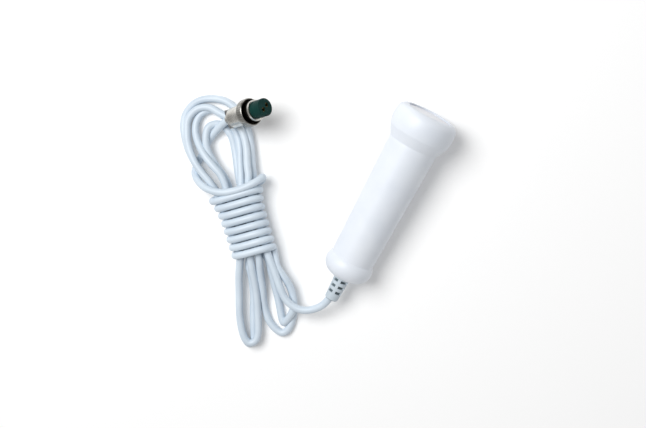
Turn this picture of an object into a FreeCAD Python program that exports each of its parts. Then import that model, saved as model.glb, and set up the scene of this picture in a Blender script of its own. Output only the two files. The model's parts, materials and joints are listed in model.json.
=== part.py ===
import FreeCAD, Part
import math
import os

from FreeCAD import Placement, Rotation, Vector

os.makedirs("parts", exist_ok=True)

# Everything is in millimetres and +Z is up.
# The handset lies on the table along +Y, foot towards -Y, and its cord lies tied in a hank at its -X side.
# Handset pieces are drawn upright about their own axis, "up the handset", and laid down at the end.

# Handset body, heights measured up the handset from the foot's end face
BODY_LENGTH = 111.6
FOOT_BULGE_R = 14.8
FOOT_ROUND_R = 8.2
FOOT_SEAM_UP = 13.0
TUBE_FOOT_R = 13.3
TUBE_HEAD_R = 15.1
HEAD_MAX_R = 19.2
HEAD_ROUND_R = 26.0
HEAD_MAX_DOWN = 8.0
FLARE_TOP_DOWN = 14.2
FLARE_FOOT_DOWN = 20.7
RIM_EDGE_R = 5.0
WALL = 2.2

# Head end: bezel, button, spring and switch
BEZEL_SEAT_DEPTH = 6.0
RIM_WALL = 1.6
BEZEL_WALL = 3.1
BEZEL_LIP = 0.3
BEZEL_SLEEVE = 0.6
BEZEL_SLEEVE_GAP = 0.4
BUTTON_GAP = 0.3
BUTTON_RECESS = 0.6
BUTTON_CROWN = 0.35
BUTTON_PLATE = 2.0
BUTTON_WALL = 1.6
BUTTON_FLANGE_OUT = 1.2
BUTTON_FLANGE = 1.4
BUTTON_TRAVEL = 2.0
REST_GAP = 0.15
STEM_R = 2.6
CARRIER_SEAT_DOWN = 13.5
CARRIER_PLATE = 1.6
CARRIER_LEDGE = 1.4
CARRIER_HOLE_R = 1.5
CARRIER_HOLE_IN = 5.4
SPRING_R = 5.4
SPRING_WIRE_R = 0.4
SPRING_TURNS = 4.5
SWITCH_WIDTH = 12.8
SWITCH_THICK = 5.8
SWITCH_HEIGHT = 10.0
PLUNGER_R = 1.1
PLUNGER_STAND = 2.5
PLUNGER_IN = 1.0
CAGE_WALL = 1.6
TAG_LENGTH = 4.4
TAG_THICK = 0.5
TAG_WIDTH = 2.4
TAG_SPACING = 8.0
TAG_LAP = 0.4
SCREW_R = 1.0
SCREW_HEAD_R = 1.8
SCREW_HEAD = 1.2
SWITCH_SCREW_SPACING = 9.5

# Foot end: wall, spigot and cord clamp
FOOT_WALL = 3.0
SPIGOT_R = 11.0
SPIGOT_LENGTH = 9.0
SPIGOT_WALL = 2.0
FOOT_CAVITY_R = 8.6
CLAMP_UP = 9.0
CLAMP_LENGTH = 5.0
CLAMP_BAR = 3.0
CLAMP_GAP = 0.5
CLAMP_SCREW_SPACING = 9.6
CORD_END_UP = 17.0

# Cord and its strain relief
CORD_R = 2.3
WIRE_R = 0.7
WIRE_SPACING = 2.2
WIRE_BOW = 3.0
WIRE_LEAVES = 0.14
WIRE_BOWS_OUT = 0.37
WIRE_BOWS_BACK = 0.65
WIRE_TAG_RUN = 6.0
BOOT_LENGTH = 16.0
BOOT_FOOT_R = 4.95
BOOT_TIP_R = 4.1
BOOT_CORE_R = 3.1
BOOT_NECK_R = 4.3
BOOT_FLANGE_R = 6.4
BOOT_FLANGE = 2.0
BOOT_SLOT = 1.75
BOOT_SLOT_PITCH = 3.8
BOOT_SLOT_ROWS = 3
BOOT_FIRST_SLOT = 2.5
BOOT_WEBS = 4
BOOT_WEB_WIDTH = 1.9
BOOT_LIP = 0.6

# Plug, lengths measured forward from the front edge of its coupling ring
INSERT_R = 5.5
INSERT_FRONT = 12.6
INSERT_EDGE = 0.4
INSERT_SEAT_R = 5.2
INSERT_NECK = 0.8
INSERT_BACK = 4.5
INSERT_TAIL_R = 4.2
INSERT_TAIL = 3.5
KEYWAY_WIDTH = 3.0
KEYWAY_DEPTH = 1.3
CONTACT_SPACING = 4.1
CONTACT_TURN = 57.0
CONTACT_R = 1.35
CONTACT_BORE_R = 0.95
CONTACT_BORE_DEPTH = 8.0
CONTACT_SET_BACK = 0.5
CONTACT_TAIL = 1.6
CONTACT_CUP_FLOOR = 0.3
SLEEVE_R = 6.4
SLEEVE_FRONT = 4.6
COLLAR_R = 7.1
COLLAR = 1.4
COLLAR_BACK = 4.4
RING_R = 8.55
RING_REAR_R = 7.75
RING_BAND = 4.2
RING_BACK = 5.6
RING_BORE_R = 7.55
RING_THREAD_DEPTH = 0.35
RING_THREAD_PITCH = 0.7
RING_THREADS = 3
RING_CLEARANCE = 0.15
KNURLS = 36
KNURL_DEPTH = 0.25
KNURL_WIDTH = 0.7
CLIP_THICK = 0.5
CLIP_DEPTH = 0.3
CLIP_STAND = 0.45
CLIP_GAP_ANGLE = 40.0
BARREL_BACK = 14.1
BARREL_TAIL_R = 5.2
SHELL_R = 6.2
SHELL_BACK = 17.5
CRADLE_LENGTH = 4.0
CRADLE_WIDTH = 11.6
CRADLE_DEPTH = 3.7
SADDLE_WALL = 1.2
SADDLE_EAR = 1.4
SADDLE_GAP = 0.5
SADDLE_SCREW_SPACING = 7.8
PLUG_SCREW_R = 0.8
PLUG_SCREW_HEAD_R = 1.5
PLUG_SCREW_HEAD = 0.9
BUSH_R = 4.2
BUSH_LENGTH = 2.4
PLUG_CORD_END = 13.6
PLUG_WIRE_RUN = 1.2

# Where the plug lies on the hank
PLUG_AT = Vector(-94.57, 6.13, 21.0)
PLUG_HEADING = 44.5
PLUG_RISE = 32.4

# The hank, in its own frame: across, along and height, from the middle of its waist
HANK_AT = Vector(-72.0, -55.97, 0.0)
HANK_HEADING = 47.5
WAIST_FOOT = -23.8
WAIST_TOP = 20.2
WAIST_HALF_WIDTH = 14.6
WAIST_HEIGHT = 18.4
WRAP_TURNS = 9
GROOVE_DEPTH = 0.9
GROOVE_WIDTH = 0.6
LOOSE_TURN_HALF_WIDTH = 21.8
LOOSE_TURN_AT = 17.9
LOOSE_TURN_SLANT = 10.0

# The cord's route on the table from the handset to the hank, chosen by hand
LEAD_START_DOWN = 3.0
LEAD_STRAIGHT_DOWN = 19.0
LEAD_ROUTE = [
    Vector(-7.4, -85.6, 11.3),
    Vector(-15.4, -89.2, 11.6),
    Vector(-24.6, -87.4, 12.0),
    Vector(-31.4, -81.9, 12.0),
    Vector(-38.9, -74.9, 11.8),
    Vector(-49.3, -66.45, 11.4),
]
# From the hank to the plug, in the hank's own frame
TAIL_ROUTE = [
    Vector(-12.6, 45.6, 2.6),
    Vector(-6.4, 52.2, 3.2),
    Vector(0.6, 56.0, 4.8),
]
TAIL_STRAIGHT_BACK = 24.5


def point(r, up):
    return Vector(r, 0, up)


def line(a, b):
    return Part.LineSegment(a, b).toShape()


def arc(a, middle, b):
    return Part.Arc(a, middle, b).toShape()


def on_circle(centre, radius, height):
    """point of a profile circle on its outer side at a height up the axis"""
    return point(centre.x + math.sqrt(radius ** 2 - (height - centre.z) ** 2), height)


def revolved(edges):
    face = Part.Face(Part.Wire(edges))
    return face.revolve(Vector(0, 0, 0), Vector(0, 0, 1), 360)


def turned(corners):
    """solid of revolution from radius and height pairs"""
    points = [point(r, up) for r, up in corners]
    edges = [line(a, b) for a, b in zip(points, points[1:] + points[:1])]
    return revolved(edges)


def cylinder(r, foot, top, x=0.0, y=0.0):
    return Part.makeCylinder(r, top - foot, Vector(x, y, foot))


def tube(outer, inner, foot, top):
    return cylinder(outer, foot, top).cut(cylinder(inner, foot, top))


def box(x, y, z):
    """box from pairs of limits"""
    return Part.makeBox(x[1] - x[0], y[1] - y[0], z[1] - z[0], Vector(x[0], y[0], z[0]))


def cross_cylinder(r, y, x, up):
    """cylinder along the piece's Y from one limit to the other"""
    return Part.makeCylinder(r, y[1] - y[0], Vector(x, y[0], up), Vector(0, 1, 0))


def bend(before, corner, after):
    """tangent arc at a corner of a route, as large as its two runs allow"""
    back = before.sub(corner)
    ahead = after.sub(corner)
    half_turn = (math.pi - back.getAngle(ahead)) / 2
    reach = 0.45 * min(back.Length, ahead.Length)
    radius = reach / math.tan(half_turn)
    back.normalize()
    ahead.normalize()
    inwards = back.add(ahead).normalize()
    start = corner.add(back.multiply(reach))
    end = corner.add(ahead.multiply(reach))
    middle = corner.add(inwards.multiply(radius / math.cos(half_turn) - radius))
    return start, middle, end, radius


def cord_along(name, route, r):
    """round tube along straight runs joined by tangent arcs"""
    edges = []
    length = 0.0
    radii = []
    at = route[0]
    for before, corner, after in zip(route, route[1:], route[2:]):
        start, middle, end, radius = bend(before, corner, after)
        edges.append(line(at, start))
        edges.append(arc(start, middle, end))
        radii.append(round(radius, 1))
        at = end
    edges.append(line(at, route[-1]))
    path = Part.Wire(edges)
    section = Part.Wire(Part.Circle(route[0], route[1].sub(route[0]), r).toShape())
    swept = path.makePipeShell([section], True, False)
    length = path.Length
    ratio = swept.Volume / (math.pi * r * r * length)
    print(name, "length", round(length, 1), "radii", radii, "volume ratio", round(ratio, 4))
    return swept


# Stations up the handset that several pieces share
foot_circle = point(FOOT_BULGE_R - FOOT_ROUND_R, FOOT_ROUND_R)
head_circle = point(HEAD_MAX_R - HEAD_ROUND_R, BODY_LENGTH - HEAD_MAX_DOWN)
flare_foot = BODY_LENGTH - FLARE_FOOT_DOWN
flare_top = BODY_LENGTH - FLARE_TOP_DOWN
rim_r = on_circle(head_circle, HEAD_ROUND_R, BODY_LENGTH).x
bezel_seat = BODY_LENGTH - BEZEL_SEAT_DEPTH
rim_rise = BODY_LENGTH - RIM_EDGE_R - head_circle.z
rim_run = math.sqrt((HEAD_ROUND_R - RIM_EDGE_R) ** 2 - rim_rise ** 2)
rim_circle = point(head_circle.x + rim_run, BODY_LENGTH - RIM_EDGE_R)
bezel_r = rim_r - RIM_WALL
bezel_bore_r = bezel_r - BEZEL_WALL
button_r = bezel_bore_r - BUTTON_GAP
button_flange_r = button_r + BUTTON_FLANGE_OUT
carrier_seat = BODY_LENGTH - CARRIER_SEAT_DOWN
carrier_top = carrier_seat + CARRIER_PLATE
carrier_r = bezel_r - CARRIER_LEDGE
head_cavity_r = carrier_r + 0.1
button_top = BODY_LENGTH - BUTTON_RECESS
button_under = button_top - BUTTON_PLATE
bezel_foot = bezel_seat - BEZEL_SLEEVE
flange_top = bezel_foot - REST_GAP
switch_top = carrier_seat - 0.6
switch_foot = switch_top - SWITCH_HEIGHT
plunger_top = switch_top + PLUNGER_STAND
screw_up = switch_foot + 2.6


def rim_point(r):
    """point of the head's rounded rim at a radius, level inside the rounding"""
    out = max(r - rim_circle.x, 0)
    return point(r, rim_circle.z + math.sqrt(RIM_EDGE_R ** 2 - out ** 2))


def grip_shell():
    """tapered tube with the flared head moulded on"""
    flare_edge = on_circle(head_circle, HEAD_ROUND_R, flare_top)
    outwards = rim_circle.sub(head_circle).normalize()
    rim_edge = head_circle.add(outwards.multiply(HEAD_ROUND_R))
    head_middle = on_circle(head_circle, HEAD_ROUND_R, (flare_top + rim_edge.z) / 2)
    rim_middle = rim_point((rim_edge.x + bezel_r) / 2)
    rim_top = rim_point(bezel_r)
    spigot_top = FOOT_SEAM_UP + SPIGOT_LENGTH + 1.0
    outline = [
        line(point(SPIGOT_R, FOOT_SEAM_UP), point(TUBE_FOOT_R, FOOT_SEAM_UP)),
        line(point(TUBE_FOOT_R, FOOT_SEAM_UP), point(TUBE_HEAD_R, flare_foot)),
        line(point(TUBE_HEAD_R, flare_foot), flare_edge),
        arc(flare_edge, head_middle, rim_edge),
        arc(rim_edge, rim_middle, rim_top),
    ]
    inside = [
        rim_top,
        point(bezel_r, bezel_seat),
        point(head_cavity_r, bezel_seat),
        point(head_cavity_r, carrier_seat),
        point(head_cavity_r - 1.2, carrier_seat),
        point(TUBE_HEAD_R - WALL, flare_foot),
        point(SPIGOT_R, spigot_top),
        point(SPIGOT_R, FOOT_SEAM_UP),
    ]
    outline += [line(a, b) for a, b in zip(inside, inside[1:])]
    return revolved(outline)


def foot_cap():
    """rounded foot that closes the tube and clamps the cord"""
    seam_edge = on_circle(foot_circle, FOOT_ROUND_R, FOOT_SEAM_UP)
    end_edge = point(foot_circle.x, 0)
    bulge = point(FOOT_BULGE_R, FOOT_ROUND_R)
    spigot_top = FOOT_SEAM_UP + SPIGOT_LENGTH
    step = [
        seam_edge,
        point(SPIGOT_R, FOOT_SEAM_UP),
        point(SPIGOT_R, spigot_top),
        point(SPIGOT_R - SPIGOT_WALL, spigot_top),
        point(SPIGOT_R - SPIGOT_WALL, FOOT_SEAM_UP),
        point(FOOT_CAVITY_R, FOOT_SEAM_UP - 1.0),
        point(FOOT_CAVITY_R, FOOT_WALL),
        point(BOOT_NECK_R, FOOT_WALL),
        point(BOOT_NECK_R, 0),
        end_edge,
    ]
    outline = [arc(end_edge, on_circle(foot_circle, FOOT_ROUND_R, FOOT_ROUND_R * 0.35), bulge)]
    past_bulge = on_circle(foot_circle, FOOT_ROUND_R, (FOOT_ROUND_R + FOOT_SEAM_UP) / 2)
    outline.append(arc(bulge, past_bulge, seam_edge))
    outline += [line(a, b) for a, b in zip(step, step[1:])]
    cap = revolved(outline)
    # cradle on the +Y side of the cord, with a groove for it and two screw holes
    half = CLAMP_SCREW_SPACING / 2 + 2.2
    cradle = box((-half, half), (CLAMP_GAP / 2, SPIGOT_R - SPIGOT_WALL / 2), clamp_limits())
    cradle = cradle.common(cylinder(SPIGOT_R - SPIGOT_WALL / 2, FOOT_WALL, spigot_top))
    cap = cap.fuse(cradle).cut(cylinder(CORD_R, FOOT_WALL, spigot_top))
    for x in clamp_screw_places():
        hole = cross_cylinder(SCREW_R, (0, clamp_screw_end()), x, CLAMP_UP + CLAMP_LENGTH / 2)
        cap = cap.cut(hole)
    return cap.removeSplitter()


def clamp_limits():
    return (CLAMP_UP, CLAMP_UP + CLAMP_LENGTH)


def clamp_screw_places():
    return (-CLAMP_SCREW_SPACING / 2, CLAMP_SCREW_SPACING / 2)


def clamp_screw_end():
    return CORD_R + 2.4


def clamp_bar():
    """bar that presses the cord into the foot's cradle"""
    half = CLAMP_SCREW_SPACING / 2 + 1.9
    bar = box((-half, half), (-CLAMP_BAR - CLAMP_GAP / 2, -CLAMP_GAP / 2), clamp_limits())
    bar = bar.cut(cylinder(CORD_R, FOOT_WALL, CORD_END_UP))
    for x in clamp_screw_places():
        bar = bar.cut(cross_cylinder(SCREW_R, (-CLAMP_BAR - 1, 0), x, CLAMP_UP + CLAMP_LENGTH / 2))
    return bar


def clamp_screw(x):
    head_face = -CLAMP_BAR - CLAMP_GAP / 2
    return cross_screw(x, CLAMP_UP + CLAMP_LENGTH / 2, head_face, clamp_screw_end())


def cross_screw(x, up, head_face, end):
    """cheese-head screw along Y with a driver slot"""
    shank = cross_cylinder(SCREW_R, (head_face, end), x, up)
    head = cross_cylinder(SCREW_HEAD_R, (head_face - SCREW_HEAD, head_face), x, up)
    slot_y = (head_face - SCREW_HEAD, head_face - SCREW_HEAD / 2)
    slot = box((x - SCREW_HEAD_R, x + SCREW_HEAD_R), slot_y, (up - 0.25, up + 0.25))
    return shank.fuse(head).cut(slot).removeSplitter()


def bezel_ring():
    """ring pressed into the head that keeps the button in; its top goes on with the rim's rounding"""
    sleeve_r = carrier_r - BEZEL_SLEEVE_GAP
    lip_top = rim_point(bezel_bore_r + BEZEL_LIP)
    lip_foot = point(bezel_bore_r, lip_top.z - BEZEL_LIP)
    turn = BEZEL_LIP * (1 - math.sqrt(0.5))
    outline = [arc(lip_foot, point(bezel_bore_r + turn, lip_top.z - turn), lip_top)]
    level_end = rim_point(max(rim_circle.x, lip_top.x))
    if level_end.x > lip_top.x:
        outline.append(line(lip_top, level_end))
    outline.append(arc(level_end, rim_point((level_end.x + bezel_r) / 2), rim_point(bezel_r)))
    under = [
        rim_point(bezel_r),
        point(bezel_r, bezel_seat),
        point(sleeve_r, bezel_seat),
        point(sleeve_r, bezel_foot),
        point(bezel_bore_r, bezel_foot),
        lip_foot,
    ]
    return revolved(outline + [line(a, b) for a, b in zip(under, under[1:])])


def button():
    """push button: crowned plate, skirt with its keeper flange, and stem"""
    crown_edge = button_top - BUTTON_CROWN
    skirt_foot = flange_top - BUTTON_FLANGE
    edge_r = 0.5
    top = [
        line(point(0, button_under), point(0, button_top)),
        arc(point(0, button_top), crown_point(), point(button_r - edge_r, crown_edge)),
    ]
    turn = edge_r * (1 - math.sqrt(0.5))
    edge_middle = point(button_r - turn, crown_edge - turn)
    top.append(arc(point(button_r - edge_r, crown_edge), edge_middle, point(button_r, crown_edge - edge_r)))
    skirt = [
        point(button_r, crown_edge - edge_r),
        point(button_r, flange_top),
        point(button_flange_r, flange_top),
        point(button_flange_r, skirt_foot),
        point(button_r - BUTTON_WALL, skirt_foot),
        point(button_r - BUTTON_WALL, button_under),
        point(0, button_under),
    ]
    cap = revolved(top + [line(a, b) for a, b in zip(skirt, skirt[1:])])
    stem = cylinder(STEM_R, plunger_top, button_under)
    cap = cap.fuse(stem)
    for quarter in range(4):
        rib = box((STEM_R - 0.5, button_r - BUTTON_WALL + 0.2), (-0.5, 0.5), (button_under - 0.9, button_under))
        rib.rotate(Vector(0, 0, 0), Vector(0, 0, 1), 45 + 90 * quarter)
        cap = cap.fuse(rib)
    return cap.removeSplitter()


def crown_point():
    """point of the button's crown half way out"""
    sphere_r = (button_r ** 2 + BUTTON_CROWN ** 2) / (2 * BUTTON_CROWN)
    half = button_r / 2
    return point(half, button_top - sphere_r + math.sqrt(sphere_r ** 2 - half ** 2))


def switch_plunger():
    return cylinder(PLUNGER_R, switch_top - PLUNGER_IN, plunger_top)


def return_spring():
    """compression spring between the carrier and the button"""
    foot = carrier_top + SPRING_WIRE_R
    top = button_under - 0.9 - SPRING_WIRE_R
    helix = Part.makeHelix((top - foot) / SPRING_TURNS, top - foot, SPRING_R)
    helix.translate(Vector(0, 0, foot))
    section = Part.Wire(Part.Circle(Vector(SPRING_R, 0, foot), Vector(0, 1, 0), SPRING_WIRE_R).toShape())
    return Part.Wire(helix.Edges).makePipeShell([section], True, True)


def switch_carrier():
    """plate seated in the head, with a cage below it for the switch"""
    plate = cylinder(carrier_r, carrier_seat, carrier_top)
    half_x = SWITCH_WIDTH / 2 + 0.1
    inner_y = SWITCH_THICK / 2 + 0.1
    outer_y = inner_y + CAGE_WALL
    cage_foot = switch_foot + 0.6
    cage = box((-half_x, half_x), (-outer_y, outer_y), (cage_foot, carrier_seat))
    cage = cage.cut(box((-half_x, half_x), (-inner_y, inner_y), (cage_foot, carrier_seat - 0.6)))
    carrier = plate.fuse(cage).cut(cylinder(STEM_R + 0.5, carrier_seat - 0.6, carrier_top))
    for x in switch_screw_places():
        carrier = carrier.cut(cross_cylinder(SCREW_R, (-outer_y, outer_y), x, screw_up))
    hole_at = carrier_r - CARRIER_HOLE_IN
    for x in (-hole_at, hole_at):
        carrier = carrier.cut(cylinder(CARRIER_HOLE_R, carrier_seat, carrier_top, x))
    return carrier.removeSplitter()


def switch_screw_places():
    return (-SWITCH_SCREW_SPACING / 2, SWITCH_SCREW_SPACING / 2)


def switch_body():
    half_x = SWITCH_WIDTH / 2
    half_y = SWITCH_THICK / 2
    case = box((-half_x, half_x), (-half_y, half_y), (switch_foot, switch_top))
    case = case.makeFillet(0.5, [e for e in case.Edges if e.BoundBox.ZLength > SWITCH_HEIGHT - 0.1])
    case = case.cut(cylinder(PLUNGER_R + 0.1, switch_top - BUTTON_TRAVEL - PLUNGER_IN - 0.5, switch_top))
    for x in switch_screw_places():
        case = case.cut(cross_cylinder(SCREW_R, (-half_y, half_y), x, screw_up))
    return case


def switch_screw(x):
    outer_y = SWITCH_THICK / 2 + 0.1 + CAGE_WALL
    return cross_screw(x, screw_up, -outer_y, outer_y)


def terminal(x):
    """solder tag under the switch"""
    foot = switch_foot - TAG_LENGTH
    tag = box((x - TAG_WIDTH / 2, x + TAG_WIDTH / 2), (-TAG_THICK / 2, TAG_THICK / 2), (foot, switch_foot))
    return tag.cut(cross_cylinder(0.5, (-TAG_THICK, TAG_THICK), x, foot + 1.5))


def core_wire(side):
    """insulated core from the cord's end up to a solder tag"""
    x = side * WIRE_SPACING / 2
    tag_x = side * TAG_SPACING / 2
    y = -TAG_THICK / 2 - WIRE_R
    top = switch_foot - TAG_LENGTH + TAG_LAP
    rise = top - CORD_END_UP
    bow = side * WIRE_BOW
    route = [
        Vector(x, 0, CORD_END_UP),
        Vector(x, 0, CORD_END_UP + WIRE_LEAVES * rise),
        Vector(x + bow, WIRE_BOW / 2, CORD_END_UP + WIRE_BOWS_OUT * rise),
        Vector(x + bow / 2, WIRE_BOW / 3, CORD_END_UP + WIRE_BOWS_BACK * rise),
        Vector(tag_x, y, top - WIRE_TAG_RUN),
        Vector(tag_x, y, top),
    ]
    return cord_along("core wire", route, WIRE_R)


def strain_relief():
    """flexible boot: tapered sleeve with rows of slots, neck and inner flange"""
    skin = turned([
        (CORD_R, -BOOT_LENGTH),
        (BOOT_TIP_R - BOOT_LIP, -BOOT_LENGTH),
        (BOOT_TIP_R, -BOOT_LENGTH + BOOT_LIP),
        (BOOT_FOOT_R, 0),
        (BOOT_NECK_R, 0),
        (BOOT_NECK_R, FOOT_WALL),
        (BOOT_FLANGE_R, FOOT_WALL),
        (BOOT_FLANGE_R, FOOT_WALL + BOOT_FLANGE),
        (CORD_R, FOOT_WALL + BOOT_FLANGE),
    ])
    for row in range(BOOT_SLOT_ROWS):
        middle = -BOOT_FIRST_SLOT - row * BOOT_SLOT_PITCH
        ring = tube(BOOT_FOOT_R + 1, BOOT_CORE_R, middle - BOOT_SLOT / 2, middle + BOOT_SLOT / 2)
        for web in range(BOOT_WEBS):
            bar = box((0, BOOT_FOOT_R + 2), (-BOOT_WEB_WIDTH / 2, BOOT_WEB_WIDTH / 2),
                      (middle - BOOT_SLOT, middle + BOOT_SLOT))
            bar.rotate(Vector(0, 0, 0), Vector(0, 0, 1), 360 / BOOT_WEBS * web + 90)
            ring = ring.cut(bar)
        skin = skin.cut(ring)
    return skin


def cord_entry():
    """the cord's end, held in the boot and the clamp"""
    return cylinder(CORD_R, -LEAD_START_DOWN, CORD_END_UP)


# Plug pieces, drawn about the plug's axis with +Z forward and -Y up


def contact_places():
    """the two contacts' places beside the plug's axis, on a line turned away from the keyway"""
    turn = math.radians(CONTACT_TURN)
    places = []
    for side in (-1, 1):
        reach = side * CONTACT_SPACING / 2
        places.append(Vector(reach * math.cos(turn), -reach * math.sin(turn), 0))
    return places


def plug_insert():
    """moulded insert: nose with its keyway, neck and seat in the sleeve, two contact holes"""
    nose_foot = SLEEVE_FRONT + INSERT_NECK
    nose = cylinder(INSERT_R, nose_foot, INSERT_FRONT)
    front = [e for e in nose.Edges if e.BoundBox.ZMin > INSERT_FRONT - 0.01]
    nose = nose.makeFillet(INSERT_EDGE, front)
    key_r = KEYWAY_WIDTH / 2
    nose = nose.cut(cylinder(key_r, nose_foot, INSERT_FRONT, INSERT_R - KEYWAY_DEPTH + key_r))
    insert = nose.fuse(cylinder(INSERT_SEAT_R, -INSERT_BACK, nose_foot))
    insert = insert.fuse(cylinder(INSERT_TAIL_R, -INSERT_BACK - INSERT_TAIL, -INSERT_BACK))
    for at in contact_places():
        insert = insert.cut(cylinder(CONTACT_R, -INSERT_BACK - INSERT_TAIL, INSERT_FRONT, at.x, at.y))
    return insert.removeSplitter()


def contact(at):
    """socket contact with a solder cup"""
    front = INSERT_FRONT - CONTACT_SET_BACK
    back = -INSERT_BACK - INSERT_TAIL - CONTACT_TAIL
    cup_floor = back + CONTACT_TAIL - CONTACT_CUP_FLOOR
    pin = cylinder(CONTACT_R, back, front, at.x, at.y)
    pin = pin.cut(cylinder(CONTACT_BORE_R, front - CONTACT_BORE_DEPTH, front, at.x, at.y))
    return pin.cut(cylinder(WIRE_R, back, cup_floor, at.x, at.y))


def plug_barrel():
    """metal sleeve round the insert, with the collar that carries the coupling ring"""
    groove_front = -RING_BACK - RING_CLEARANCE
    barrel = turned([
        (INSERT_SEAT_R, SLEEVE_FRONT),
        (SLEEVE_R, SLEEVE_FRONT),
        (SLEEVE_R, COLLAR - COLLAR_BACK),
        (COLLAR_R, COLLAR - COLLAR_BACK),
        (COLLAR_R, -COLLAR_BACK),
        (SLEEVE_R, -COLLAR_BACK),
        (SLEEVE_R, groove_front),
        (SLEEVE_R - CLIP_DEPTH, groove_front),
        (SLEEVE_R - CLIP_DEPTH, groove_front - CLIP_THICK),
        (SLEEVE_R, groove_front - CLIP_THICK),
        (SLEEVE_R, shell_front()),
        (BARREL_TAIL_R, shell_front()),
        (BARREL_TAIL_R, -BARREL_BACK),
        (INSERT_TAIL_R, -BARREL_BACK),
        (INSERT_TAIL_R, -INSERT_BACK),
        (INSERT_SEAT_R, -INSERT_BACK),
    ])
    return barrel


def shell_front():
    return -RING_BACK - RING_CLEARANCE - CLIP_THICK - 0.5


def ring_clip():
    """open spring clip in the barrel's groove, behind the coupling ring"""
    front = -RING_BACK - RING_CLEARANCE
    clip = tube(SLEEVE_R + CLIP_STAND, SLEEVE_R - CLIP_DEPTH, front - CLIP_THICK, front)
    reach = SLEEVE_R + 2
    half = math.radians(CLIP_GAP_ANGLE / 2)
    wedge = Part.Face(Part.makePolygon([
        Vector(0, 0, front - 1),
        Vector(reach * math.cos(half), -reach * math.sin(half), front - 1),
        Vector(reach * math.cos(half), reach * math.sin(half), front - 1),
        Vector(0, 0, front - 1),
    ])).extrude(Vector(0, 0, 2))
    return clip.cut(wedge)


def coupling_ring():
    """loose ring with a knurled band outside and a screw thread inside"""
    inner_lip = SLEEVE_R + RING_CLEARANCE
    lip_front = -COLLAR_BACK - RING_CLEARANCE
    seat_r = COLLAR_R + RING_CLEARANCE
    seat_front = COLLAR - COLLAR_BACK + 0.3
    edge = 0.4
    profile = [
        (RING_BORE_R, 0),
        (RING_R - edge, 0),
        (RING_R, -edge),
        (RING_R, -RING_BAND),
        (RING_REAR_R, -RING_BAND - 0.5),
        (RING_REAR_R, -RING_BACK + edge),
        (RING_REAR_R - edge, -RING_BACK),
        (inner_lip, -RING_BACK),
        (inner_lip, lip_front),
        (seat_r, lip_front),
        (seat_r, seat_front),
        (RING_BORE_R, seat_front),
    ]
    for tooth in range(RING_THREADS):
        foot = seat_front + 0.3 + RING_THREAD_PITCH * tooth
        profile += [
            (RING_BORE_R, foot),
            (RING_BORE_R + RING_THREAD_DEPTH, foot + RING_THREAD_PITCH * 0.4),
            (RING_BORE_R, foot + RING_THREAD_PITCH * 0.8),
        ]
    ring = turned(profile)
    cuts = []
    for knurl in range(KNURLS):
        half = KNURL_WIDTH / 2
        groove = Part.Face(Part.makePolygon([
            Vector(RING_R - KNURL_DEPTH, 0, 0),
            Vector(RING_R + 0.2, -half, 0),
            Vector(RING_R + 0.2, half, 0),
            Vector(RING_R - KNURL_DEPTH, 0, 0),
        ])).extrude(Vector(0, 0, -RING_BAND - 0.5))
        groove.rotate(Vector(0, 0, 0), Vector(0, 0, 1), 360 / KNURLS * knurl)
        cuts.append(groove)
    return ring.cut(Part.makeCompound(cuts))


def cradle_limits():
    return (-SHELL_BACK - CRADLE_LENGTH, -SHELL_BACK)


def back_shell():
    """cylindrical back shell with the lower half of the cord clamp"""
    front = shell_front()
    body = turned([
        (BARREL_TAIL_R, front),
        (SHELL_R, front),
        (SHELL_R, -SHELL_BACK + 0.8),
        (SHELL_R - 0.8, -SHELL_BACK),
        (CORD_R, -SHELL_BACK),
        (CORD_R, -SHELL_BACK + 1.0),
        (BUSH_R, -SHELL_BACK + 1.0),
        (BUSH_R, -BARREL_BACK),
        (BARREL_TAIL_R, -BARREL_BACK),
    ])
    half = CRADLE_WIDTH / 2
    cradle = box((-half, half), (SADDLE_GAP / 2, CRADLE_DEPTH), cradle_limits())
    lower_edges = [e for e in cradle.Edges if e.BoundBox.YMin > CRADLE_DEPTH - 0.01 and e.BoundBox.ZLength > 1]
    cradle = cradle.makeFillet(2.0, lower_edges)
    shell = body.fuse(cradle).cut(cylinder(CORD_R, -SHELL_BACK - CRADLE_LENGTH, -SHELL_BACK))
    for x in saddle_screw_places():
        shell = shell.cut(cross_cylinder(PLUG_SCREW_R, (0, CRADLE_DEPTH - 0.6), x, saddle_up()))
    return shell.removeSplitter()


def saddle_screw_places():
    return (-SADDLE_SCREW_SPACING / 2, SADDLE_SCREW_SPACING / 2)


def saddle_up():
    return -SHELL_BACK - CRADLE_LENGTH / 2


def clamp_saddle():
    """arched strap over the cord with an ear for each screw"""
    half = CRADLE_WIDTH / 2
    foot, top = cradle_limits()
    ears = box((-half, half), (-SADDLE_GAP / 2 - SADDLE_EAR, -SADDLE_GAP / 2), (foot, top))
    arch = cylinder(CORD_R + SADDLE_WALL, foot, top)
    arch = arch.cut(box((-half, half), (-SADDLE_GAP / 2, half), (foot, top)))
    saddle = ears.fuse(arch).cut(cylinder(CORD_R, foot, top))
    head_face = -SADDLE_GAP / 2 - SADDLE_EAR
    for x in saddle_screw_places():
        saddle = saddle.cut(cross_cylinder(PLUG_SCREW_R, (head_face, 0), x, saddle_up()))
        saddle = saddle.cut(cross_cylinder(PLUG_SCREW_HEAD_R, (head_face - 3, head_face), x, saddle_up()))
    return saddle.removeSplitter()


def saddle_screw(x):
    head_face = -SADDLE_GAP / 2 - SADDLE_EAR
    up = saddle_up()
    shank = cross_cylinder(PLUG_SCREW_R, (head_face, CRADLE_DEPTH - 0.6), x, up)
    head = cross_cylinder(PLUG_SCREW_HEAD_R, (head_face - PLUG_SCREW_HEAD, head_face), x, up)
    slot_y = (head_face - PLUG_SCREW_HEAD, head_face - PLUG_SCREW_HEAD / 2)
    slot = box((x - PLUG_SCREW_HEAD_R, x + PLUG_SCREW_HEAD_R), slot_y, (up - 0.2, up + 0.2))
    return shank.fuse(head).cut(slot).removeSplitter()


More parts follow.
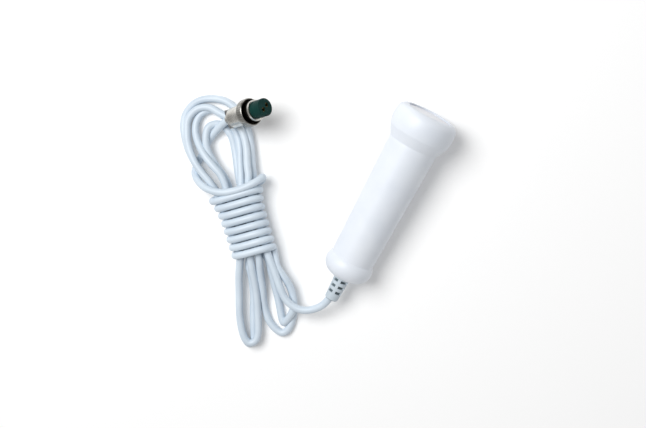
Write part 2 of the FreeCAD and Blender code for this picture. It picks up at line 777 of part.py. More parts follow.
def plug_bush():
    """rubber bush round the cord inside the back shell"""
    back = -SHELL_BACK + 1.0
    return tube(BUSH_R, CORD_R, back, min(back + BUSH_LENGTH, -BARREL_BACK))


def plug_wire(at):
    """insulated core from the cord's end in the plug to a contact's solder cup"""
    back = -INSERT_BACK - INSERT_TAIL - CONTACT_TAIL
    start = Vector(at).multiply(WIRE_SPACING / CONTACT_SPACING)
    route = [
        Vector(start.x, start.y, -PLUG_CORD_END),
        Vector(start.x, start.y, -PLUG_CORD_END + PLUG_WIRE_RUN),
        Vector(at.x, at.y, back - PLUG_WIRE_RUN),
        Vector(at.x, at.y, back + CONTACT_TAIL - CONTACT_CUP_FLOOR),
    ]
    return cord_along("plug wire", route, WIRE_R)


# The cord's free solids, drawn where they lie


def plug_point(forward):
    return plug_place().multVec(Vector(0, 0, forward))


def handset_point(up):
    return handset_place().multVec(Vector(0, 0, up))


def cord_lead():
    route = [handset_point(-LEAD_START_DOWN), handset_point(-LEAD_STRAIGHT_DOWN)] + LEAD_ROUTE
    return cord_along("cord lead", route, CORD_R)


def cord_tail():
    place = hank_place()
    route = [place.multVec(p) for p in TAIL_ROUTE]
    route += [plug_point(-TAIL_STRAIGHT_BACK), plug_point(-PLUG_CORD_END)]
    return cord_along("cord tail", route, CORD_R)


def smooth_outline(points):
    """closed smooth outline through points given as across and along"""
    curve = Part.BSplineCurve()
    curve.interpolate([Vector(x, y, 0) for x, y in points], PeriodicFlag=True)
    return Part.Wire(curve.toShape())


def lobe(outer, opening, side_profile):
    """a group of loops: plan outline with its opening, under a sloping top"""
    plan = Part.Face(smooth_outline(outer)).extrude(Vector(0, 0, 2 * WAIST_HEIGHT))
    plan = plan.cut(Part.Face(smooth_outline(opening)).extrude(Vector(0, 0, 2 * WAIST_HEIGHT)))
    width = 100.0
    corners = [Vector(-width / 2, along, height) for along, height in side_profile]
    side = Part.Face(Part.makePolygon(corners + corners[:1])).extrude(Vector(width, 0, 0))
    return plan.common(side)


def stadium(half_width, height, foot, top):
    """flat-topped wrap with half-round sides, between two stations along the hank"""
    r = height / 2
    flat = half_width - r
    edges = [
        line(Vector(-flat, foot, 0), Vector(flat, foot, 0)),
        arc(Vector(flat, foot, 0), Vector(half_width, foot, r), Vector(flat, foot, height)),
        line(Vector(flat, foot, height), Vector(-flat, foot, height)),
        arc(Vector(-flat, foot, height), Vector(-half_width, foot, r), Vector(-flat, foot, 0)),
    ]
    return Part.Face(Part.Wire(edges)).extrude(Vector(0, top - foot, 0))


def wrapped_waist():
    """the waist with a groove between each two turns of the wrap"""
    waist = stadium(WAIST_HALF_WIDTH, WAIST_HEIGHT, WAIST_FOOT, WAIST_TOP)
    pitch = (WAIST_TOP - WAIST_FOOT) / WRAP_TURNS
    for turn in range(1, WRAP_TURNS):
        foot = WAIST_FOOT + pitch * turn - GROOVE_WIDTH / 2
        top = foot + GROOVE_WIDTH
        core = stadium(WAIST_HALF_WIDTH - GROOVE_DEPTH, WAIST_HEIGHT - 2 * GROOVE_DEPTH, foot, top)
        core.translate(Vector(0, 0, GROOVE_DEPTH))
        outside = stadium(WAIST_HALF_WIDTH + 1, WAIST_HEIGHT + 2, foot, top)
        outside.translate(Vector(0, 0, -1))
        waist = waist.cut(outside.cut(core))
    return waist


def cord_hank():
    """the tied hank: wrapped waist, four loops above it and two lobes of loops below it"""
    waist = wrapped_waist()
    loose = stadium(LOOSE_TURN_HALF_WIDTH, WAIST_HEIGHT, LOOSE_TURN_AT - CORD_R, LOOSE_TURN_AT + CORD_R)
    loose.rotate(Vector(0, LOOSE_TURN_AT, 0), Vector(0, 0, 1), -LOOSE_TURN_SLANT)
    top_outer = [
        (-13.0, 16.0), (-17.0, 30.0), (-22.6, 44.0), (-23.6, 56.0), (-19.6, 70.5), (-12.0, 78.0), (-3.0, 80.3),
        (9.0, 77.2), (19.0, 68.0), (23.8, 54.0), (20.0, 38.0), (14.5, 22.0), (12.0, 14.0), (0.0, 12.0),
    ]
    top_opening = [(0.6, 31.0), (-4.0, 41.0), (-5.9, 51.0), (-3.0, 57.0), (1.0, 58.6), (4.6, 56.0), (6.1, 46.0), (3.6, 37.0)]
    top_side = [(10.0, 0.0), (10.0, 13.0), (26.0, 13.0), (48.0, 5.0), (64.0, 5.0), (72.0, 4.6), (84.0, 4.6), (84.0, 0.0)]
    left_outer = [
        (-13.6, -20.0), (-17.0, -34.0), (-23.2, -45.5), (-28.0, -60.0), (-29.2, -71.7), (-26.2, -80.0),
        (-20.5, -77.5), (-14.2, -67.5), (-10.4, -57.0), (-6.0, -42.0), (-2.0, -26.0), (-2.0, -18.0),
    ]
    left_opening = [(-12.4, -37.0), (-18.2, -46.0), (-23.2, -60.0), (-24.4, -69.5), (-22.4, -71.0), (-18.0, -61.0), (-14.2, -48.0)]
    right_outer = [
        (13.0, -18.0), (12.8, -30.0), (13.0, -44.0), (13.3, -55.3), (11.4, -64.0), (6.8, -74.0), (0.0, -79.0),
        (-6.0, -77.4), (-9.4, -68.0), (-7.4, -50.0), (-3.4, -36.0), (-2.0, -24.0), (0.0, -18.0), (6.0, -16.0),
    ]
    right_opening = [(1.0, -36.0), (-1.6, -46.0), (-3.6, -58.0), (-3.9, -67.0), (-2.2, -70.5), (-0.4, -63.0), (1.4, -50.0)]
    foot_side = [(-14.0, 0.0), (-14.0, 8.4), (-30.0, 8.4), (-48.0, 6.2), (-62.0, 5.0), (-82.0, 4.6), (-82.0, 0.0)]
    pieces = [
        lobe(top_outer, top_opening, top_side),
        lobe(left_outer, left_opening, foot_side),
        lobe(right_outer, right_opening, foot_side),
        loose,
    ]
    hank = waist
    for piece in pieces:
        hank = hank.fuse(piece)
    return hank.removeSplitter()


# Placing


def handset_tilt():
    """angle at which the head's largest ring and the foot's bulge both touch the table"""
    along = head_circle.z - foot_circle.z
    apart = head_circle.x - foot_circle.x
    rounder = HEAD_ROUND_R - FOOT_ROUND_R
    return math.asin(rounder / math.hypot(along, apart)) + math.atan2(apart, along)


def handset_place():
    """the handset lying on the table, its box centred over the frame's origin"""
    tilt = handset_tilt()
    lift = foot_circle.x * math.cos(tilt) + FOOT_ROUND_R - foot_circle.z * math.sin(tilt)
    foot_reach = FOOT_ROUND_R + foot_circle.x * math.sin(tilt) - foot_circle.z * math.cos(tilt)
    head_reach = RIM_EDGE_R + rim_circle.x * math.sin(tilt) + rim_circle.z * math.cos(tilt)
    back = (foot_reach - head_reach) / 2
    return Placement(Vector(0, back, lift), Rotation(Vector(1, 0, 0), math.degrees(tilt) - 90))


def plug_place():
    forward = Rotation(Vector(0, 0, 1), PLUG_HEADING).multVec(Vector(1, 0, 0))
    sideways = Rotation(Vector(0, 0, 1), PLUG_HEADING - 90).multVec(Vector(1, 0, 0))
    rise = math.radians(PLUG_RISE)
    axis = forward.multiply(math.cos(rise)).add(Vector(0, 0, math.sin(rise)))
    down = axis.cross(sideways)
    matrix = FreeCAD.Matrix(
        sideways.x, down.x, axis.x, PLUG_AT.x,
        sideways.y, down.y, axis.y, PLUG_AT.y,
        sideways.z, down.z, axis.z, PLUG_AT.z,
        0, 0, 0, 1,
    )
    return Placement(matrix)


def hank_place():
    return Placement(HANK_AT, Rotation(Vector(0, 0, 1), HANK_HEADING))


def save(name, shape, place=None):
    if place is not None:
        shape = shape.copy()
        shape.Placement = place.multiply(shape.Placement)
    solids = shape.Solids
    if len(solids) != 1 or not shape.isValid():
        print("look at", name, "solids", len(solids), "valid", shape.isValid())
    shape = solids[0] if len(solids) == 1 else shape
    shape.exportStep("parts/" + name + ".step")
    return shape


def main():
    lying = handset_place()
    save("grip_shell", grip_shell(), lying)
    save("foot_cap", foot_cap(), lying)
    save("bezel_ring", bezel_ring(), lying)
    save("push_button", button(), lying)
    save("switch_plunger", switch_plunger(), lying)
    save("return_spring", return_spring(), lying)
    save("switch_carrier", switch_carrier(), lying)
    save("switch_body", switch_body(), lying)
    for number, side in enumerate((-1, 1), 1):
        save("switch_screw_%d" % number, switch_screw(side * SWITCH_SCREW_SPACING / 2), lying)
        save("terminal_%d" % number, terminal(side * TAG_SPACING / 2), lying)
        save("core_wire_%d" % number, core_wire(side), lying)
        save("clamp_screw_%d" % number, clamp_screw(side * CLAMP_SCREW_SPACING / 2), lying)
    save("clamp_bar", clamp_bar(), lying)
    save("strain_relief", strain_relief(), lying)
    save("cord_entry", cord_entry(), lying)

    plug = plug_place()
    save("plug_insert", plug_insert(), plug)
    save("plug_barrel", plug_barrel(), plug)
    save("coupling_ring", coupling_ring(), plug)
    save("ring_clip", ring_clip(), plug)
    save("back_shell", back_shell(), plug)
    save("clamp_saddle", clamp_saddle(), plug)
    save("plug_bush", plug_bush(), plug)
    for number, at in enumerate(contact_places(), 1):
        save("contact_%d" % number, contact(at), plug)
        save("plug_wire_%d" % number, plug_wire(at), plug)
    for number, x in enumerate(saddle_screw_places(), 1):
        save("saddle_screw_%d" % number, saddle_screw(x), plug)

    hank = cord_hank()
    hank.Placement = hank_place().multiply(hank.Placement)
    save("cord_hank", hank)
    save("cord_lead", cord_lead().cut(hank))
    save("cord_tail", cord_tail().cut(hank))


main()
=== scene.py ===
import json
import math

import bpy
from mathutils import Matrix, Vector


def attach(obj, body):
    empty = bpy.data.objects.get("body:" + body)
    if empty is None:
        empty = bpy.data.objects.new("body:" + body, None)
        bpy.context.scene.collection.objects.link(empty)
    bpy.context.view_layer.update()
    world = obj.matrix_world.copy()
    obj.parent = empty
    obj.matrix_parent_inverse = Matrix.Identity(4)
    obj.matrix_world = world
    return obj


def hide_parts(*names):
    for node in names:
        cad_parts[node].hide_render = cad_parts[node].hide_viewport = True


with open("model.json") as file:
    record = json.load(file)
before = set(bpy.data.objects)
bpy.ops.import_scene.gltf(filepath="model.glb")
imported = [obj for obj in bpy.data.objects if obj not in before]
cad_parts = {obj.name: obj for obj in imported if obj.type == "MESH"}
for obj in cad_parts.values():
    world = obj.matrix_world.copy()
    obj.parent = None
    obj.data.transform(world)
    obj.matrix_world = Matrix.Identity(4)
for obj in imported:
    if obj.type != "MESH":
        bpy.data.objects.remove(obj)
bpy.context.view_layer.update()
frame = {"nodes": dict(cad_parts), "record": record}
nodes = frame["nodes"]
MM = 0.001

# The photograph's view
IMAGE_WIDTH = 646
SENSOR_WIDTH = 36.0
FOCAL_PIXELS = 1136.33
CAMERA_TARGET = Vector((-0.03025, -0.03128, 0.0))
CAMERA_BACK = Vector((0.12, 0.20, 0.97237))
CAMERA_UP = Vector((-0.48629, 0.86579, -0.11806))
CAMERA_DISTANCE = 0.700
CLIP_START = 0.01
CLIP_END = 20.0

# The studio: one soft lamp from the upper left, an even white surround and a white floor
LAMP_AT = (-0.55, 0.19, 1.13)
LAMP_TARGET = (-0.04, -0.03, 0.0)
LAMP_SIZE = 0.85
LAMP_POWER = 13.5
SURROUND_STRENGTH = 0.33
FLOOR_HALF = 3.0
FLOOR_TONE = 0.9
FLOOR_ROUGHNESS = 0.9
FLOOR_GLOW = 0.12

# The handset as it lies: the foot's end face on its axis, and the way up to the button
HANDSET_FOOT = Vector((0.0, -0.05591, 0.01441))
HANDSET_AXIS = Vector((0.0, 0.998929, 0.046272))

# The boot's slots, whose floors are darkened with painted shade: how far their floors and their edges
# lie from its axis
SLOT_FLOOR_R = 0.0032
SLOT_EDGE_R = 0.0041

# The plug's painted shade inside the coupling ring and on the sleeve behind its lip, measured along
# it from the coupling ring's front edge and from its axis
RING_INSIDE_R = 0.0079
RING_INSIDE_BACK = -0.0046
SLEEVE_DARK_BACK = -0.0055
SLEEVE_DARK_FRONT = 0.0030
SHADE_EDGE = 0.0002

# tone of the painted shade on the floors of the boot's slots
SLOT_PAINTED_SHADE = (100, 114, 120)
# tone of the painted shade inside the coupling ring and on the sleeve behind its lip
INSIDE_PAINTED_SHADE = (44, 40, 36)

# How a surface's colour, gloss and fine grain drift
PATCH_LOW = 0.3
PATCH_HIGH = 0.7
PATCH_DETAIL = 3.0
GLOSS_DRIFT = 0.15
GRAIN_SCALE = 2500.0
GRAIN_DETAIL = 2.0
GRAIN_DEPTH = 0.00002

# The cord
CORD_DIAMETER = 4.6 * MM
CORD_STEPS = 6
CORD_ROUNDNESS = 5
LEAD_START_DOWN = 3.0
LEAD_STRAIGHT_DOWN = 19.0
LEAD_ROUTE = [
    (-7.4, -85.6, 11.3),
    (-15.4, -89.2, 11.6),
    (-24.6, -87.4, 12.0),
    (-31.4, -81.9, 12.0),
    (-38.9, -74.9, 11.8),
    (-49.3, -66.45, 11.4),
]

# The plug: its coupling ring's front edge, and the way it points
PLUG_AT = Vector((-94.57, 6.13, 21.0))
PLUG_HEADING = 44.5
PLUG_RISE = 32.4
PLUG_CORD_END = 13.6
TAIL_STRAIGHT_BACK = 24.5

# The hank's own frame, in mm: across, along and height, from the middle of its waist
HANK_AT = Vector((-72.0, -55.97, 0.0))
HANK_HEADING = 47.5

# The turns above and below the waist, in the order in which the cord runs through them, as points in
# the hank's own frame. The first and last of each lie inside the wrap, but for the last turn.
TURNS = [
    # second turn above the waist, run through from right to left
    [
        (10.0, 17.0, 11.5), (13.0, 23.0, 11.6), (14.0, 30.0, 10.4), (16.0, 37.0, 8.6),
        (17.0, 44.5, 6.6), (16.5, 52.5, 5.2), (12.5, 59.5, 4.4), (6.5, 65.5, 4.2), (2.0, 71.0, 4.2),
        (-4.5, 73.0, 4.4), (-10.0, 71.5, 4.8), (-14.5, 68.0, 5.2), (-16.5, 62.5, 6.0),
        (-18.0, 56.5, 7.6), (-18.0, 49.5, 9.8), (-17.0, 41.5, 11.6), (-14.5, 34.0, 12.0),
        (-11.5, 27.0, 11.8), (-9.5, 17.0, 11.5),
    ],
    # long turn below, upper one
    [
        (-8.5, -21.0, 11.5), (-10.5, -24.0, 10.5), (-13.0, -28.5, 9.2), (-16.5, -36.0, 7.8),
        (-19.0, -43.0, 7.0), (-22.0, -51.0, 6.9), (-24.5, -59.0, 6.9), (-26.0, -67.0, 6.9),
        (-26.0, -73.0, 6.7), (-24.0, -76.5, 6.3), (-19.5, -76.0, 6.0), (-16.5, -71.5, 5.8),
        (-14.0, -64.0, 5.7), (-11.5, -56.5, 6.1), (-9.5, -50.0, 6.7), (-7.5, -42.0, 7.6),
        (-6.0, -35.0, 9.2), (-4.5, -29.0, 10.8), (-3.0, -21.0, 11.5),
    ],
    # third turn above, from left to right
    [
        (-3.5, 17.0, 11.5), (-3.0, 28.5, 11.6), (-6.5, 35.5, 11.4), (-10.0, 43.5, 9.8),
        (-11.5, 49.5, 8.0), (-12.5, 55.0, 6.0), (-12.0, 61.0, 4.4), (-9.5, 66.0, 3.2),
        (-6.0, 69.0, 2.5), (-1.0, 70.0, 2.3), (3.0, 69.0, 2.3), (7.0, 64.5, 2.3), (10.0, 59.5, 2.3),
        (12.0, 52.5, 2.3), (12.0, 46.0, 2.6), (11.0, 39.5, 3.8), (9.0, 32.5, 5.8), (7.5, 24.5, 8.6),
        (5.5, 17.0, 11.5),
    ],
    # wide turn below
    [
        (2.0, -21.0, 11.5), (1.5, -28.0, 11.0), (-1.0, -34.0, 9.0), (-3.0, -41.0, 6.8),
        (-5.0, -48.0, 5.0), (-7.5, -54.5, 3.4), (-8.5, -61.0, 2.5), (-8.5, -67.5, 2.3),
        (-6.0, -73.5, 2.3), (-3.0, -77.0, 2.3), (1.5, -76.0, 2.3), (6.0, -71.0, 2.3),
        (9.5, -65.0, 2.3), (11.0, -59.0, 2.3), (12.0, -53.0, 2.5), (11.5, -47.5, 3.0),
        (10.5, -42.5, 4.0), (9.0, -37.5, 5.2), (7.5, -34.0, 6.4), (8.5, -21.0, 6.9),
    ],
    # outermost turn above, from right to left
    [
        (10.0, 17.0, 6.9), (14.5, 22.0, 6.6), (15.5, 28.5, 5.8), (17.5, 35.0, 4.9), (19.0, 42.0, 4.0),
        (20.0, 48.5, 3.3), (19.5, 56.0, 2.8), (17.5, 63.0, 2.5), (14.5, 69.0, 2.3), (9.5, 73.5, 2.3),
        (2.5, 76.5, 2.3), (-4.5, 77.5, 2.3), (-11.0, 75.5, 2.3), (-16.0, 71.5, 2.4),
        (-19.0, 65.5, 3.0), (-20.0, 58.5, 4.2), (-20.0, 51.5, 5.8), (-19.0, 45.0, 7.0),
        (-17.5, 39.0, 7.4), (-15.5, 33.0, 7.2), (-9.5, 17.0, 6.9),
    ],
    # long turn below, lower one
    [
        (-8.5, -21.0, 6.9), (-12.0, -24.5, 6.3), (-14.0, -29.0, 5.0), (-18.0, -36.5, 3.4),
        (-20.5, -43.5, 2.4), (-23.5, -51.5, 2.3), (-26.0, -59.5, 2.3), (-27.5, -67.5, 2.3),
        (-27.5, -74.0, 2.3), (-25.5, -78.0, 2.3), (-21.5, -74.5, 2.3), (-20.0, -69.5, 2.3),
        (-18.0, -63.5, 2.3), (-15.5, -56.0, 2.3), (-12.5, -49.5, 2.4), (-10.5, -42.0, 3.2),
        (-8.5, -35.0, 4.8), (-8.0, -29.0, 6.3), (-3.0, -21.0, 6.9),
    ],
    # innermost turn above, from left to right
    [
        (-3.0, 17.0, 6.9), (-3.0, 26.0, 6.6), (-6.0, 34.5, 6.4), (-7.5, 41.5, 6.8), (-8.0, 48.0, 7.1),
        (-6.5, 54.0, 6.9), (-4.0, 59.0, 6.0), (-1.0, 60.5, 4.8), (2.5, 60.0, 3.6), (5.5, 58.0, 2.7),
        (7.5, 53.5, 2.3), (8.5, 48.5, 2.3), (7.5, 41.5, 2.4), (6.5, 35.0, 3.2), (5.5, 29.0, 4.8),
        (4.0, 17.0, 6.9),
    ],
    # innermost turn below, which ends at the wrap
    [
        (3.0, -21.0, 6.9), (6.0, -30.0, 6.6), (4.5, -35.0, 5.0), (3.5, -42.0, 3.4), (2.5, -48.5, 2.5),
        (2.0, -55.0, 2.3), (1.0, -61.5, 2.3), (0.0, -67.0, 2.3), (0.0, -71.5, 2.8), (5.0, -68.5, 4.5),
        (9.0, -65.5, 6.2), (12.0, -61.0, 6.9), (13.0, -55.5, 6.9), (13.5, -50.0, 7.3),
        (12.5, -44.5, 8.4), (11.0, -39.0, 9.2), (10.0, -34.5, 9.4),
    ],
]

# The wrap round the waist, the loose turn over it, and the tail from there to the plug
WRAP_TURNS = 8
WRAP_POINTS = 16
WRAP_PITCH = 5.15
WRAP_FOOT = -21.6
WRAP_HALF_WIDTH = 12.3
WRAP_SPREAD = 2.7
WRAP_SHIFT = (-0.6, 1.0)
WRAP_HALF_HEIGHT = 7.1
WRAP_MIDDLE = 9.3
WRAP_SQUARENESS = 2.7
LOOSE_TURN = [
    (18.0, 17.5, 4.5), (21.0, 20.0, 9.5), (19.0, 18.5, 14.5), (13.5, 17.5, 16.6), (6.5, 17.0, 17.0),
    (0.0, 17.5, 17.0), (-6.0, 19.0, 17.0), (-11.5, 22.0, 16.2), (-16.0, 26.0, 14.5),
    (-19.0, 30.5, 11.2), (-21.0, 34.5, 7.0), (-20.5, 38.5, 3.4), (-17.5, 42.0, 2.3),
]
TAIL_ROUTE = [
    (-12.6, 45.6, 2.6),
    (-6.4, 52.2, 3.2),
    (0.6, 56.0, 4.8),
]


def hank_point(across, along, height):
    turn = math.radians(HANK_HEADING)
    x = across * math.cos(turn) - along * math.sin(turn)
    y = across * math.sin(turn) + along * math.cos(turn)
    return (HANK_AT + Vector((x, y, height))) * MM


def plug_axis():
    heading = math.radians(PLUG_HEADING)
    rise = math.radians(PLUG_RISE)
    level = math.cos(rise)
    return Vector((level * math.cos(heading), level * math.sin(heading), math.sin(rise)))


def plug_point(forward):
    return (PLUG_AT + plug_axis() * forward) * MM


def handset_point(up):
    return HANDSET_FOOT + HANDSET_AXIS * up * MM


def wrap_points():
    """turns round the waist from its foot up, over the top from right to left, the last ones wider"""
    points = []
    power = 2 / WRAP_SQUARENESS
    for step in range(-1, WRAP_TURNS * WRAP_POINTS - 1):
        turns = step / WRAP_POINTS
        share = max(turns / (WRAP_TURNS - 1), 0)
        c = math.cos(turns * 2 * math.pi)
        s = math.sin(turns * 2 * math.pi)
        half_width = WRAP_HALF_WIDTH + WRAP_SPREAD * share ** 5
        middle = WRAP_SHIFT[0] + (WRAP_SHIFT[1] - WRAP_SHIFT[0]) * share
        across = middle + half_width * math.copysign(abs(c) ** power, c)
        height = WRAP_MIDDLE + WRAP_HALF_HEIGHT * math.copysign(abs(s) ** power, s)
        points.append((across, WRAP_FOOT + WRAP_PITCH * (turns - 0.25), height))
    return points


def cord_route():
    """every point of the cord, in metres, from the handset to the plug"""
    route = [handset_point(-LEAD_START_DOWN), handset_point(-LEAD_STRAIGHT_DOWN)]
    route += [Vector(p) * MM for p in LEAD_ROUTE]
    turns = [point for turn in TURNS for point in turn]
    route += [hank_point(*p) for p in turns + wrap_points() + LOOSE_TURN + TAIL_ROUTE]
    route += [plug_point(-TAIL_STRAIGHT_BACK), plug_point(-PLUG_CORD_END)]
    return route


def cord():
    route = cord_route()
    curve = bpy.data.curves.new("cord", "CURVE")
    curve.dimensions = "3D"
    spline = curve.splines.new("NURBS")
    spline.points.add(len(route) - 1)
    for point, place in zip(spline.points, route):
        point.co = (*place, 1.0)
    spline.order_u = 3
    spline.use_endpoint_u = True
    spline.resolution_u = CORD_STEPS
    curve.bevel_depth = CORD_DIAMETER / 2
    curve.bevel_resolution = CORD_ROUNDNESS
    curve.use_fill_caps = True
    piece = bpy.data.objects.new("cord", curve)
    bpy.context.scene.collection.objects.link(piece)
    return piece


def nodes_of(material):
    material.use_nodes = True
    tree = material.node_tree
    return tree.nodes, tree.links, tree.nodes["Principled BSDF"]


def noise(tree, coordinates, scale, detail):
    texture = tree.nodes.new("ShaderNodeTexNoise")
    texture.inputs["Scale"].default_value = scale
    texture.inputs["Detail"].default_value = detail
    tree.links.new(coordinates.outputs["Object"], texture.inputs["Vector"])
    return texture


def finish_material(name, light, dark, roughness, metallic=0.0, patch=60.0, specular=0.5):
    """surface whose colour and gloss drift slightly, with a fine moulded or machined grain"""
    material = bpy.data.materials.new(name)
    kinds, links, shader = nodes_of(material)
    tree = material.node_tree
    coordinates = kinds.new("ShaderNodeTexCoord")
    patches = noise(tree, coordinates, patch, PATCH_DETAIL)
    ramp = kinds.new("ShaderNodeValToRGB")
    low, high = ramp.color_ramp.elements
    low.position = PATCH_LOW
    high.position = PATCH_HIGH
    low.color = (*dark, 1.0)
    high.color = (*light, 1.0)
    links.new(patches.outputs["Fac"], ramp.inputs["Fac"])
    links.new(ramp.outputs["Color"], shader.inputs["Base Color"])
    gloss = kinds.new("ShaderNodeMapRange")
    gloss.inputs["To Min"].default_value = roughness * (1 - GLOSS_DRIFT)
    gloss.inputs["To Max"].default_value = roughness * (1 + GLOSS_DRIFT)
    fine = noise(tree, coordinates, GRAIN_SCALE, GRAIN_DETAIL)
    links.new(fine.outputs["Fac"], gloss.inputs["Value"])
    links.new(gloss.outputs["Result"], shader.inputs["Roughness"])
    relief = kinds.new("ShaderNodeBump")
    relief.inputs["Strength"].default_value = 1.0
    relief.inputs["Distance"].default_value = GRAIN_DEPTH
    links.new(fine.outputs["Fac"], relief.inputs["Height"])
    links.new(relief.outputs["Normal"], shader.inputs["Normal"])
    shader.inputs["Metallic"].default_value = metallic
    shader.inputs["Specular IOR Level"].default_value = specular
    return material


def vector_math(tree, operation, first, second=None):
    node = tree.nodes.new("ShaderNodeVectorMath")
    node.operation = operation
    tree.links.new(first, node.inputs[0])
    if second is not None:
        node.inputs[1].default_value = second
    return node.outputs


def measured(tree, origin, axis):
    """how far a point of the surface lies along an axis from its origin, and how far from the axis"""
    coordinates = tree.nodes.new("ShaderNodeTexCoord")
    offset = vector_math(tree, "SUBTRACT", coordinates.outputs["Object"], origin)["Vector"]
    along = vector_math(tree, "DOT_PRODUCT", offset, axis)["Value"]
    across = vector_math(tree, "CROSS_PRODUCT", offset, axis)["Vector"]
    return along, vector_math(tree, "LENGTH", across)["Value"]


def share_of(tree, value, start, end):
    """0 up to where the value is start, 1 from where it is end"""
    step = tree.nodes.new("ShaderNodeMapRange")
    step.inputs["From Min"].default_value = start
    step.inputs["From Max"].default_value = end
    tree.links.new(value, step.inputs["Value"])
    return step.outputs["Result"]


def mix_painted_shade(material, shade, shares):
    """mixes a painted shade into a material's colour by the product of the shares"""
    kinds, links, shader = nodes_of(material)
    amount = shares[0]
    for share in shares[1:]:
        product = kinds.new("ShaderNodeMath")
        product.operation = "MULTIPLY"
        links.new(amount, product.inputs[0])
        links.new(share, product.inputs[1])
        amount = product.outputs["Value"]
    mix = kinds.new("ShaderNodeMix")
    mix.data_type = "RGBA"
    skin = shader.inputs["Base Color"].links[0].from_socket
    links.new(skin, mix.inputs["A"])
    mix.inputs["B"].default_value = (*shade, 1.0)
    links.new(amount, mix.inputs["Factor"])
    links.new(mix.outputs["Result"], shader.inputs["Base Color"])


# paints shade onto the floors of the boot's slots, darker nearer the boot's axis
def paint_shade_in_boot_slots():
    material = MATERIALS["boot_rubber"]
    tree = material.node_tree
    radius = measured(tree, HANDSET_FOOT, HANDSET_AXIS)[1]
    slot_shade_share = share_of(tree, radius, SLOT_EDGE_R, SLOT_FLOOR_R)
    mix_painted_shade(material, srgb(*SLOT_PAINTED_SHADE), [slot_shade_share])


def paint_shade_inside_ring():
    """painted shade: the coupling ring's thread inside its bore and the sleeve behind its bright lip
    are darkened
    """
    ring = MATERIALS["ring_nickel"]
    tree = ring.node_tree
    along, radius = measured(tree, plug_point(0), plug_axis())
    inside = share_of(tree, radius, RING_INSIDE_R + SHADE_EDGE, RING_INSIDE_R)
    front = share_of(tree, along, RING_INSIDE_BACK - SHADE_EDGE, RING_INSIDE_BACK)
    mix_painted_shade(ring, srgb(*INSIDE_PAINTED_SHADE), [inside, front])
    sleeve = MATERIALS["plug_nickel"]
    tree = sleeve.node_tree
    along = measured(tree, plug_point(0), plug_axis())[0]
    front = share_of(tree, along, SLEEVE_DARK_BACK - SHADE_EDGE, SLEEVE_DARK_BACK)
    behind_lip = share_of(tree, along, SLEEVE_DARK_FRONT + SHADE_EDGE, SLEEVE_DARK_FRONT)
    mix_painted_shade(sleeve, srgb(*INSIDE_PAINTED_SHADE), [front, behind_lip])


def srgb(*values):
    """linear colour of a screen colour given from 0 to 255"""
    shares = [v / 255 for v in values]
    return tuple(s / 12.92 if s <= 0.04045 else ((s + 0.055) / 1.055) ** 2.4 for s in shares)


FINISHES = {
    "shell_plastic": ((236, 241, 248), (228, 234, 243), 0.42, {}),
    "button_plastic": ((240, 240, 244), (232, 234, 240), 0.35, {}),
    "inner_plastic": ((200, 203, 206), (188, 191, 195), 0.5, {}),
    "switch_plastic": ((34, 34, 36), (24, 24, 26), 0.45, {}),
    "spring_steel": ((188, 190, 192), (160, 162, 165), 0.3, {"metallic": 1.0}),
    "screw_steel": ((196, 198, 200), (160, 160, 160), 0.32, {"metallic": 1.0}),
    "contact_brass": ((150, 128, 80), (110, 92, 52), 0.4, {"metallic": 1.0}),
    "wire_red": ((176, 32, 28), (150, 24, 22), 0.45, {}),
    "wire_white": ((226, 226, 222), (206, 206, 202), 0.45, {}),
    "boot_rubber": ((204, 215, 223), (194, 206, 215), 0.5, {}),
    "cord_vinyl": ((216, 228, 238), (203, 216, 228), 0.4, {}),
    "insert_green": ((8, 56, 51), (4, 42, 38), 0.5, {"specular": 0.12}),
    "plug_nickel": ((228, 226, 220), (196, 193, 186), 0.28, {"metallic": 1.0, "patch": 250.0}),
    "ring_nickel": ((196, 195, 190), (140, 138, 132), 0.3, {"metallic": 1.0, "patch": 300.0}),
    "bush_rubber": ((40, 40, 42), (28, 28, 30), 0.6, {}),
}
MATERIALS = {
    name: finish_material(name, srgb(*light), srgb(*dark), roughness, **more)
    for name, (light, dark, roughness, more) in FINISHES.items()
}


def dress_cad_nodes():
    for part in frame["record"]["subparts"]:
        node = nodes[part["node"]]
        node.data.materials.clear()
        node.data.materials.append(MATERIALS[part["material_slot"]])


def aim(thing, place, target, up=Vector((0, 1, 0))):
    back = (place - target).normalized()
    right = up.cross(back).normalized()
    turned = Matrix((right, back.cross(right), back)).transposed()
    thing.matrix_world = Matrix.Translation(place) @ turned.to_4x4()


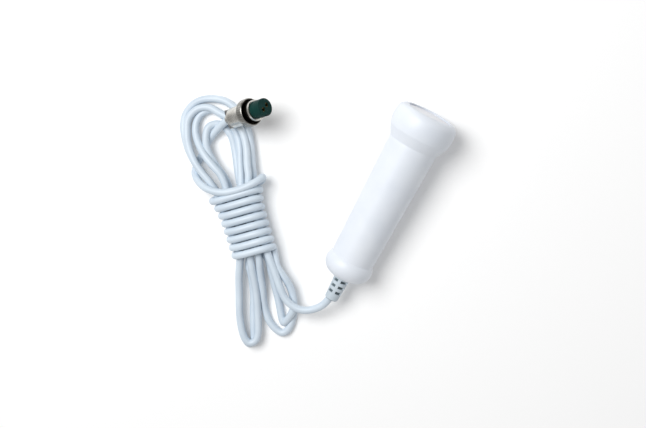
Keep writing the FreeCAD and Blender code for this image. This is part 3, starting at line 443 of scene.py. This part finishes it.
def camera():
    data = bpy.data.cameras.new("camera")
    data.sensor_width = SENSOR_WIDTH
    data.lens = FOCAL_PIXELS / IMAGE_WIDTH * SENSOR_WIDTH
    data.clip_start = CLIP_START
    data.clip_end = CLIP_END
    eye = bpy.data.objects.new("camera", data)
    bpy.context.scene.collection.objects.link(eye)
    aim(eye, CAMERA_TARGET + CAMERA_BACK * CAMERA_DISTANCE, CAMERA_TARGET, CAMERA_UP)
    bpy.context.scene.camera = eye


def studio():
    data = bpy.data.lights.new("key_light", "AREA")
    data.shape = "DISK"
    data.size = LAMP_SIZE
    data.energy = LAMP_POWER
    lamp = bpy.data.objects.new("key_light", data)
    bpy.context.scene.collection.objects.link(lamp)
    aim(lamp, Vector(LAMP_AT), Vector(LAMP_TARGET))
    world = bpy.data.worlds.new("studio")
    world.use_nodes = True
    background = world.node_tree.nodes["Background"]
    background.inputs["Color"].default_value = (1.0, 1.0, 1.0, 1.0)
    background.inputs["Strength"].default_value = SURROUND_STRENGTH
    bpy.context.scene.world = world


def floor():
    mesh = bpy.data.meshes.new("floor")
    half = FLOOR_HALF
    corners = [(-half, -half, 0), (half, -half, 0), (half, half, 0), (-half, half, 0)]
    mesh.from_pydata(corners, [], [(0, 1, 2, 3)])
    ground = bpy.data.objects.new("floor", mesh)
    bpy.context.scene.collection.objects.link(ground)
    material = bpy.data.materials.new("floor_white")
    shader = nodes_of(material)[2]
    shader.inputs["Base Color"].default_value = (FLOOR_TONE, FLOOR_TONE, FLOOR_TONE, 1.0)
    shader.inputs["Roughness"].default_value = FLOOR_ROUGHNESS
    shader.inputs["Specular IOR Level"].default_value = 0.0
    shader.inputs["Emission Color"].default_value = (1.0, 1.0, 1.0, 1.0)
    shader.inputs["Emission Strength"].default_value = FLOOR_GLOW
    mesh.materials.append(material)


bpy.context.scene.view_settings.view_transform = "Standard"
paint_shade_in_boot_slots()
paint_shade_inside_ring()
dress_cad_nodes()
cable = cord()
cable.data.materials.append(MATERIALS["cord_vinyl"])
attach(cable, "handset")
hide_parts("cord_lead", "cord_hank", "cord_tail")
camera()
studio()
floor()
